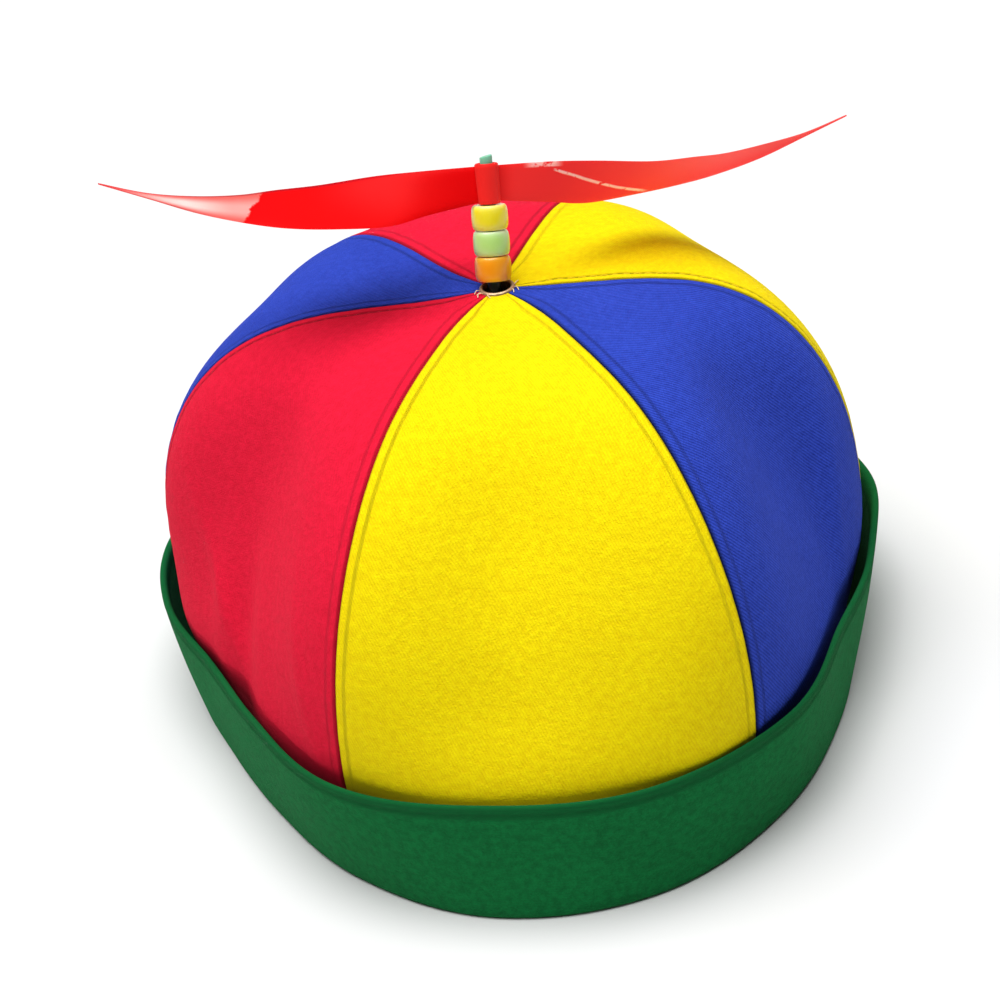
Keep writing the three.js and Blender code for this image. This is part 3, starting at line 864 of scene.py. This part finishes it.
# %% Cuff
round_band = arc_lengths(np.concatenate([section, section[:, :1]], 1), 1)[2:3, :-1]
up_band = arc_lengths(section[:, :1], 0)
# Painted shade: a dashed dark line along the stitching under the rim.
stitched = 0.14 * np.exp(-(((section[..., 2] - RIM_STITCHING) / 0.45) ** 2))
dash = np.sin(2 * np.pi * (round_band / STITCH_PITCH + section[..., 2] / 2))
stitched = stitched * (0.7 + 0.3 * dash)
count = section.shape[0]
row_number = np.arange(count)[:, None]
outer_rows = 2 + len(heights)
# Painted shade: the cuff's inner face and hem, darker further down from the rim.
inner_painted_shade = np.clip((CUFF_HEIGHT - section[..., 2]) / 4, 0, 0.8)
painted_shade = np.where(row_number < outer_rows, stitched, inner_painted_shade)
cloth = np.stack(np.broadcast_arrays(round_band, up_band, painted_shade), -1).reshape(-1, 3) * FLAT_SCALE
faces = grid_faces(count, CUFF_SECTIONS, ring=True)
last = np.arange(CUFF_SECTIONS) + (count - 1) * CUFF_SECTIONS
first = np.arange(CUFF_SECTIONS)
closing = np.stack([last, np.roll(last, -1), np.roll(first, -1), first], -1)
points = section.reshape(-1, 3) + cap_shift
piece = make_mesh("cloth_cuff", points, np.concatenate([faces, closing]), 60, {"cloth": cloth})
dress(piece, cloths["green"], "green_twill", "cuff")

# %% [markdown]
# ## Turned pieces
# The eyelet, the spindle and the beads are all round, so each is drawn once as a half section and
# turned about its axis, as on a lathe. A modifier could do the turning, but then the small uneven
# things that real pieces have could not be put in.


# %% Lathe helper
def turned(profile, sides):
    """Points and faces of a closed half section turned about the upright axis."""
    radius, height = np.array(profile, float).T
    turn = np.linspace(0, 2 * np.pi, sides, endpoint=False)
    across, ahead = np.outer(radius, np.cos(turn)), np.outer(radius, np.sin(turn))
    points = np.stack(np.broadcast_arrays(across, ahead, height[:, None]), -1)
    count = len(profile)
    faces = grid_faces(count + 1, sides, ring=True) % (count * sides)
    return points.reshape(-1, 3), faces[:, ::-1]


lean = np.array(
    Matrix.Rotation(math.radians(-SPINDLE_LEAN_BACK), 3, "X")
    @ Matrix.Rotation(math.radians(SPINDLE_LEAN_RIGHT), 3, "Y")
)
crown_top = np.array([APEX_SIDE, -APEX_FRONT, CROWN_HEIGHT]) + cap_shift


def on_spindle(points):
    """Stands points that are drawn about an upright axis on the leaning spindle."""
    return points @ lean.T + crown_top - np.array([SPINDLE_SIDE, 0, 0])


leaning = math.acos(lean[2, 2])
rim_top = FIT + EYELET_RIM_HEIGHT
flange_bottom = CROWN_WALL + FIT + EYELET_FLANGE_WALL
bead_seat = (rim_top + FIT + BEAD_END_DIAMETER / 2 * math.sin(leaning)) / math.cos(leaning)
foot_drop = (flange_bottom + FIT + FOOT_DIAMETER / 2 * math.sin(leaning)) / math.cos(leaning)
hub_start = bead_seat + 3 * BEAD_LENGTH + 2 * BEAD_GAP + FIT
print("the spindle leans", round(math.degrees(leaning), 1), "degrees")

# %% [markdown]
# ## The eyelet
# A two-part brass eyelet is pressed through the crown: a barrel, a rolled rim on top and a flat
# flange below. Faces that point up are painted lighter and glossier, a painted highlight from the
# light above, and uneven patches vary the tone at random.

# %% Eyelet
metal = Shader("antique_brass")
patches = metal.noise(metal.spot(), 900.0, 4.0, 0.65)
facing_up = metal.split(metal.node("ShaderNodeNewGeometry", output="Normal"))[2]
# Painted highlight: faces that point up are painted lighter, with random patches.
bright = (facing_up * 0.6 + patches * 1.1 - 0.5).clamped()
metal.set(
    Base_Color=metal.blend_colours(linear(140, 104, 70), linear(244, 214, 176), bright),
    Metallic=0.55,
    Roughness=0.5 - bright * 0.25,
    Normal=metal.bump(patches, 0.00008, 0.6),
)

bore = EYELET_BORE / 2
barrel = bore + EYELET_BARREL_WALL
rim = EYELET_RIM_DIAMETER / 2
flange = EYELET_FLANGE_DIAMETER / 2
under = -CROWN_WALL - FIT
roll_middle = (bore + 0.1 + rim) / 2
roll_wide = (rim - bore - 0.1) / 2
roll = [
    (roll_middle + roll_wide * math.cos(a), -0.1 + (rim_top + 0.1) * math.sin(a))
    for a in np.linspace(0, math.pi, 13)
]
profile = [
    (bore, under - EYELET_FLANGE_WALL),
    (flange - 0.15, under - EYELET_FLANGE_WALL),
    (flange, under - EYELET_FLANGE_WALL * 0.6),
    (flange, under - 0.1),
    (flange - 0.1, under),
    (barrel, under),
    (barrel, -0.2),
    *roll,
    (bore, -0.4),
]
points, faces = turned(profile, 96)
piece = make_mesh("eyelet_ring", points + crown_top, faces, 35)
dress(piece, metal.material, "antique_brass", "eyelet")

# %% [markdown]
# ## Loose thread ends
# Where the six seams meet, the ends of the sewing thread stick out round the eyelet. Hair strands
# could be combed into place, but a handful of ends is quicker to lay one by one: each leaves the
# eyelet in its own direction, curls as it goes, and lies just above the cloth.

# %% Thread ends
loose_ends = [
    dict(at=176, turn=16, length=1.6),
    dict(at=204, turn=22, length=2),
    dict(at=221, turn=-16, length=1.4),
    dict(at=243, turn=12, length=1.2),
    dict(at=318, turn=-14, length=1.3),
    dict(at=345, turn=-20, length=1.7),
    dict(at=6, turn=16, length=1.4),
]
columns = [np.array([row[name] for row in loose_ends])[:, None] for name in loose_ends[0]]
start, bent, length = columns
u = np.linspace(0, 1, 11)
at = start + bent * u**1.5
radius = EYELET_RIM_DIAMETER / 2 - 0.2 + length * u
level = 3 - radius / (mean_radius * blended(at, "shoulder") * shoulder_reach)
point, normal = cloth_point(at, level, -0.15)
point = point + normal * (0.4 * np.sin(np.pi * u))[:, None]
points, faces = threads(point, normal, 0.12 + 0 * at)
cotton = thread_finish("thread_pale", linear(250, 240, 206), linear(224, 190, 140))
piece = make_mesh("loose_thread_ends", points + cap_shift, faces)
dress(piece, cotton, "yellow_twill")

# %% [markdown]
# ## The spindle
# A thin rod of mint green plastic, cut off a little askew at the top. Below the crown a foot keeps
# it from pulling out. The plastic is slightly milky, so light goes a little way into it.


# %% Plastics
def milky_plastic(name, deep, pale, milk, roughness):
    """Moulded plastic that lets light in, with painted light making it paler towards its rounded
    ends.
    """
    shader = Shader(name)
    spot = shader.spot()
    ends = shader.split(shader.carried("rounded"))[0]
    swirl = shader.noise(spot, 260.0, 3.0, 0.5)
    # Painted light: the colour turns pale towards the rounded ends, and the swirl varies it at
    # random.
    paler = (ends * 0.7 + swirl * 0.5 - 0.2).clamped()
    shader.set(
        Base_Color=shader.blend_colours(deep, pale, paler),
        Roughness=roughness + swirl * 0.08,
        Subsurface_Weight=milk,
        Subsurface_Scale=0.002,
        Subsurface_Radius=(1.0, 0.8, 0.5),
        Coat_Weight=0.4,
        Coat_Roughness=0.15,
        Normal=shader.bump(shader.noise(spot, 700.0, 2.0), 0.00005, 0.5),
    )
    return shader.material


def rod_plastic():
    """The rod's mint green, with painted shade: near-black green where it goes down through the
    eyelet.
    """
    shader = Shader("mint_rod_plastic")
    spot = shader.spot()
    height = shader.split(spot)[2]
    swirl = shader.noise(spot, 260.0, 3.0, 0.5)
    plain = shader.blend_colours(linear(92, 176, 138), linear(150, 214, 184), swirl)
    top = CROWN_HEIGHT * MILLIMETRE
    # Painted shade: below the crown's top the rod is painted near-black green.
    in_daylight = height.stepped(top + 0.0015, top + 0.0035)
    shader.set(
        Base_Color=shader.blend_colours(linear(4, 28, 20), plain, in_daylight),
        Roughness=0.3 + swirl * 0.1,
        Subsurface_Weight=0.15,
        Subsurface_Scale=0.002,
        Normal=shader.bump(swirl, 0.0001, 0.4),
    )
    return shader.material


mint_rod = rod_plastic()
print("rod finish", mint_rod.name)

# %% Spindle
rod = SPINDLE_DIAMETER / 2
foot = FOOT_DIAMETER / 2
tip = hub_start + HUB_LENGTH + SPINDLE_TIP
profile = [
    (0.001, -foot_drop - FOOT_WALL),
    (foot - 0.4, -foot_drop - FOOT_WALL),
    (foot, -foot_drop - FOOT_WALL + 0.4),
    (foot, -foot_drop - 0.3),
    (foot - 0.3, -foot_drop),
    (rod + 0.5, -foot_drop),
    (rod, -foot_drop + 0.5),
    *[(rod, height) for height in np.linspace(0, tip - 0.5, 14)],
    (rod - 0.05, tip - 0.2),
    (rod - 0.25, tip),
    (0.001, tip),
]
points, faces = turned(profile, 48)
slope = np.clip((points[:, 2] - tip + 1) / 1, 0, 1)
points[:, 2] += slope * (points[:, 0] * 0.22 - 0.3)
piece = make_mesh("spindle_rod", on_spindle(points), faces, 35)
dress(piece, mint_rod, "mint_plastic", "spindle")

# %% [markdown]
# ## The beads
# Three barrel beads of milky plastic. They are nearly straight tubes with softly rounded ends, and
# no two are quite alike.

# %% Beads
bead_rows = [
    dict(name="orange", slot="orange_plastic", deep=(255, 160, 0), pale=(255, 196, 74)),
    dict(name="mint", slot="pale_mint_plastic", deep=(190, 236, 136), pale=(234, 250, 214)),
    dict(name="yellow", slot="yellow_plastic", deep=(250, 232, 20), pale=(254, 244, 150)),
]
MILKINESS = 0.35
BEAD_ROUGHNESS = 0.28

for number, row in enumerate(bead_rows):
    bore = SPINDLE_DIAMETER / 2 + FIT
    end = BEAD_END_DIAMETER / 2 + 0.65
    side = BEAD_DIAMETER / 2
    half = BEAD_LENGTH / 2
    outside = []
    for bend in np.linspace(-math.pi / 2, math.pi / 2, 25):
        lift = math.copysign(abs(math.sin(bend)) ** 0.7, bend)
        outside.append((mix(end, side, math.cos(bend) ** 0.8), half * lift))
    bottom = [(bore, -half + 0.3), (bore + 0.3, -half)]
    profile = [*bottom, *outside, (bore + 0.3, half), (bore, half - 0.3)]
    points, faces = turned(profile, 64)
    ends = np.abs(points[:, 2] / half) ** 4
    attributes = {"rounded": np.stack([ends, 0 * ends, 0 * ends], -1)}
    points[:, 2] += bead_seat + number * (BEAD_LENGTH + BEAD_GAP) + half
    deep, pale = linear(*row["deep"]), linear(*row["pale"])
    finish = milky_plastic(row["name"] + "_bead_plastic", deep, pale, MILKINESS, BEAD_ROUGHNESS)
    piece = make_mesh("bead_" + row["name"] + "_barrel", on_spindle(points), faces, 50, attributes)
    dress(piece, finish, row["slot"], "bead_" + row["name"])

# %% [markdown]
# ## The propeller
# Two thin twisted blades and a sleeve, moulded in one from see-through red plastic. A blade's top
# edge and low edge are two smooth curves. The twist comes from how far the top edge lies in front
# and the low edge behind, which grows along the blade and dies away again towards the tip.

# %% Blade shape
blade_rows = [
    dict(out=0.02, top=0.34, front=0.04, low=-0.35, behind=0.04),
    dict(out=0.165, top=0.33, front=0.21, low=-0.49, behind=0.15),
    dict(out=0.28, top=0.29, front=0.52, low=-0.61, behind=0.38),
    dict(out=0.42, top=0.2, front=0.72, low=-0.55, behind=0.53),
    dict(out=0.54, top=0.195, front=0.585, low=-0.45, behind=0.545),
    dict(out=0.64, top=0.19, front=0.355, low=-0.3, behind=0.385),
    dict(out=0.76, top=0.27, front=0.09, low=-0.04, behind=0.21),
    dict(out=0.88, top=0.42, front=0.02, low=0.31, behind=0.08),
    dict(out=1, top=0.69, front=0.005, low=0.66, behind=0.005),
]


def along_rows(rows, column, part):
    """A smooth open curve through one column of a table."""
    values = np.array([row[column] for row in rows], float)
    last = len(values) - 1
    position = part * last
    index = np.clip(np.floor(position).astype(int), 0, last - 1)
    four = [values[np.clip(index + k, 0, last)] for k in (-1, 0, 1, 2)]
    return between(*four, position - index)


BLADE_STATIONS = 140
BLADE_COLUMNS = 18


def blade_face(side):
    """One face of a blade, from its low edge to its top edge. side is 1 or -1."""
    part = np.linspace(0, 1, BLADE_STATIONS)[:, None]
    across = np.linspace(0, 1, BLADE_COLUMNS)[None, :]
    out, top, front, low, behind = (along_rows(blade_rows, name, part) for name in blade_rows[0])
    edge = 1 - (2 * across - 1) ** 8
    wall = BLADE_WALL * (0.35 + 0.65 * edge) / 2
    back = mix(behind, -front, across) * BLADE_HEIGHT + side * wall
    height = mix(low, top, across) * BLADE_HEIGHT
    return np.stack(np.broadcast_arrays(out * BLADE_REACH, back, height), -1)


print("a blade reaches", BLADE_REACH, "mm from the spindle")

# %% [markdown]
# ## Clear red plastic
# The plastic is deep red. Painted light makes the outer part of one blade pale pink and the other
# blade paler coral towards its tip and its top edge. On that other blade a broken white line and a
# small patch near the sleeve are painted highlights. A glass shader would take the colours of
# whatever lies behind it. So the light is only let in under the skin, that blade and the sleeve
# carry a painted glow, and the mesh carries how far out each point lies and how far up the blade,
# to work the colour out from.

# %% Propeller colour
red = Shader("clear_red_plastic")
out, across, sleeve_part = red.split(red.carried("blade"))
spot = red.spot()
wobble = red.noise(spot, 150.0, 4.0, 0.7) - 0.5
streaks = red.noise(spot, 45.0, 2.0, 0.5)
middle = (across * 2 - 1).absolute()
plain = red.blend_colours(linear(220, 2, 10), linear(228, 8, 8), streaks)
# Painted light: the blade with out above 0 turns paler coral towards its tip and its top edge.
coral = red.blend_colours(linear(236, 40, 46), linear(232, 90, 88), across)
plain = red.blend_colours(plain, coral, out.stepped(0.12, 0.75))
# Painted light: pale pink on the outer part of the blade with out below 0, palest across its middle
# and redder at the very tip.
pale = red.blend_colours(linear(250, 212, 206), linear(226, 96, 92), middle.stepped(0.15, 0.9))
pale = red.blend_colours(linear(226, 70, 70), pale, out.stepped(-0.98, -0.78))
pale = red.blend_colours(pale, linear(232, 96, 88), out.stepped(-0.8, -0.66) * 0.6)
painted_pale_light = (across * 0.07 - out + wobble * 0.07).stepped(0.655, 0.665)
colour = red.blend_colours(plain, pale, painted_pale_light)
top_edge = across.stepped(0.93, 0.98) * out.stepped(-0.4, -0.1, 1.0, 0.0)
colour = red.blend_colours(colour, linear(130, 16, 30), top_edge * 0.6)
print("propeller colours blended in", len(red.tree.nodes), "nodes")

# %% Painted highlight line, painted highlight patch and finish
# Painted highlight: a broken white line across the blade with out above 0, with a small ridge in
# the bump under it.
bend = across - 0.76 + (out - 0.19) * 2.68 + wobble * 0.05
painted_highlight_line = bend.absolute().stepped(0.014, 0.05, 1.0, 0.0)
painted_highlight_line = painted_highlight_line * out.stepped(0.17, 0.18) * out.stepped(0.42, 0.46, 1.0, 0.0)
painted_highlight_line = painted_highlight_line * red.noise(spot, 420.0, 2.0, 0.6).stepped(0.35, 0.45)
# Painted highlight: a small white patch by the top edge, near the sleeve.
painted_highlight_patch = across.stepped(0.86, 0.9) * out.stepped(0.09, 0.13) * out.stepped(0.17, 0.2, 1.0, 0.0)
painted_highlight_patch = painted_highlight_patch * red.noise(spot, 300.0, 3.0, 0.7).stepped(0.4, 0.52)
colour = red.blend_colours(colour, linear(255, 226, 220), (painted_highlight_line + painted_highlight_patch * 0.8).clamped())
colour = red.blend_colours(colour, linear(234, 36, 30), sleeve_part * 0.6)
# Painted glow: emission on the blade with out above 0 and on the sleeve, which are no lamps.
painted_glow = (out.stepped(0.0, 0.08) + sleeve_part * 0.5).clamped()
red.set(
    Base_Color=colour,
    Roughness=0.4 + streaks * 0.1,
    Specular_IOR_Level=0.05,
    Subsurface_Weight=0.3,
    Subsurface_Scale=0.003,
    Subsurface_Radius=(1.0, 0.3, 0.25),
    Emission_Color=red.blend_colours((0, 0, 0, 1), linear(255, 82, 78), painted_glow),
    Emission_Strength=0.28,
    Normal=red.bump(streaks + painted_highlight_line * 0.4, 0.0004, 0.4),
)
print("propeller finish", red.material.name)

# %% Propeller
bore = SPINDLE_DIAMETER / 2 + FIT
hub = HUB_DIAMETER / 2
half = HUB_LENGTH / 2
sleeve = [
    (bore, -half + 0.2),
    (bore + 0.2, -half),
    (hub - 0.3, -half),
    (hub, -half + 0.3),
    *[(hub, height) for height in np.linspace(-half + 1, half - 1, 8)],
    (hub, half - 0.3),
    (hub - 0.3, half),
    (bore + 0.2, half),
    (bore, half - 0.2),
]
sleeve_points, sleeve_faces = turned(sleeve, 64)
blade_points, blade_faces = shell(blade_face(1), blade_face(-1))
turned_over = blade_points * np.array([-1, -1, 1])
points, faces = gathered(
    [(sleeve_points, sleeve_faces), (blade_points, blade_faces), (turned_over, blade_faces)]
)
share = blade_points[:, 0] / BLADE_REACH
climb = np.tile(np.linspace(0, 1, BLADE_COLUMNS), len(blade_points) // BLADE_COLUMNS)
on_sleeve = np.tile([0, 0.5, 1], (len(sleeve_points), 1))
right_blade = np.stack([share, climb, 0 * share], -1)
left_blade = np.stack([-share, climb, 0 * share], -1)
attributes = {"blade": np.concatenate([on_sleeve, right_blade, left_blade])}
spun = math.radians(BLADE_TURN)
ahead, aside = math.cos(spun), math.sin(spun)
spin = np.array([[ahead, -aside, 0], [aside, ahead, 0], [0, 0, 1]])
points = points @ spin.T + np.array([0, 0, hub_start + half])
piece = make_mesh("propeller_blades", on_spindle(points), faces, 45, attributes)
dress(piece, red.material, "red_plastic", "propeller", body="propeller")

# %% [markdown]
# ## Floor and light
# The photograph was lit softly from above, on white: the top of the crown is bright and the wall
# falls off towards the cuff. Lamps close by would light the middle of the floor more than its
# edges. A very wide sun overhead lights it evenly, and the pale floor throws some of it back up.

# %% Studio
FLOOR_HALF = 3000
FLOOR_DROP = 0.1
PAPER_TONE = 0.68
SUN_STRENGTH = 4.7
SUN_SPREAD = 60
SUN_AIM = Vector((0.1, 0.0, -1))
SKY_STRENGTH = 0.08

corners = FLOOR_HALF * np.array([(-1, -1, 0), (1, -1, 0), (1, 1, 0), (-1, 1, 0)])
floor = make_mesh("floor", corners, [(0, 1, 2, 3)])
floor.location.z = -FLOOR_DROP * MILLIMETRE
paper = Shader("pale_paper")
paper.set(Base_Color=(PAPER_TONE, PAPER_TONE, PAPER_TONE, 1), Roughness=0.9)
floor.data.materials.append(paper.material)

sun = bpy.data.objects.new("overhead", bpy.data.lights.new("overhead", "SUN"))
scene.collection.objects.link(sun)
sun.data.energy = SUN_STRENGTH
sun.data.angle = math.radians(SUN_SPREAD)
sun.rotation_euler = SUN_AIM.to_track_quat("-Z", "Y").to_euler()

world = bpy.data.worlds.new("studio")
world.use_nodes = True
sky = world.node_tree.nodes["Background"].inputs
sky["Color"].default_value = (1, 1, 1, 1)
sky["Strength"].default_value = SKY_STRENGTH
scene.world = world
scene.view_settings.view_transform = "Standard"
print("one wide overhead light, strength", SUN_STRENGTH)

# %% [markdown]
# ## Size
# Dressing a cap must not change its size.
